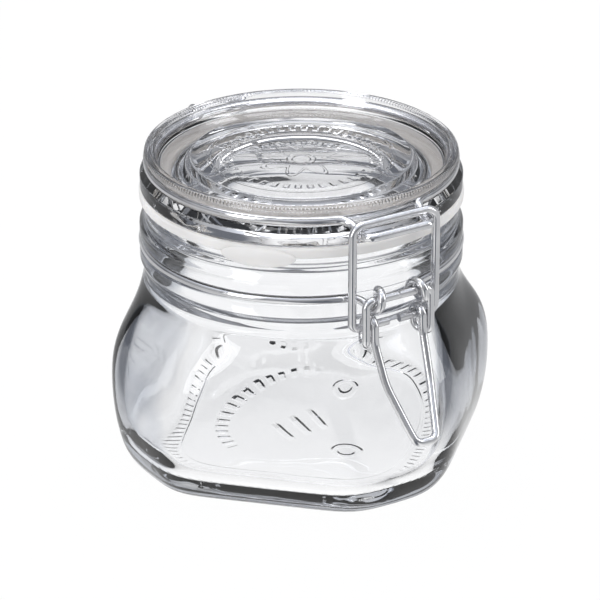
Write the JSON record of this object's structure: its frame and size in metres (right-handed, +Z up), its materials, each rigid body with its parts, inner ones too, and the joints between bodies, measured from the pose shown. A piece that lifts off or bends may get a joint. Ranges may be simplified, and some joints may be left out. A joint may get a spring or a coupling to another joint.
{
  "type": "clip-top jar",
  "caption": "Squarish clear glass storage jar with a glass lid, a rubber ring and a stainless wire clip closure",
  "frame": {"origin": "middle of the jar's foot, on the surface it stands on", "axes": "+Z up along the neck's axis; the clip is at the front, on -Y; the lid's wire hinge is behind, on +Y; +X is to the right seen from the front"},
  "size_m": [0.1146, 0.1281, 0.097],
  "materials": {
    "jar_glass": "clear",
    "lid_glass": "clear",
    "gasket": "satin",
    "wire": "polished stainless wire"
  },
  "bodies": {
    "container": {"jar": "jar_glass", "lid": "lid_glass", "gasket": "gasket", "lid_wire": "wire", "neck_wire": "wire"},
    "lever": {"lever": "wire"},
    "bail": {"bail": "wire"}
  },
  "joints": [
    {"name": "lever_swing", "type": "hinge", "parent": "container", "child": "lever", "pos_m": [0, -0.0536, 0.0696], "axis": [-1, 0, 0], "range_deg": [0, 110]},
    {"name": "bail_swing", "type": "hinge", "parent": "lever", "child": "bail", "pos_m": [0, -0.0511, 0.0608], "axis": [1, 0, 0], "range_deg": [0, 85.8]}
  ],
  "couplings": [
    {"joint": "bail_swing", "follows": "lever_swing", "ratio": 0.78}
  ]
}
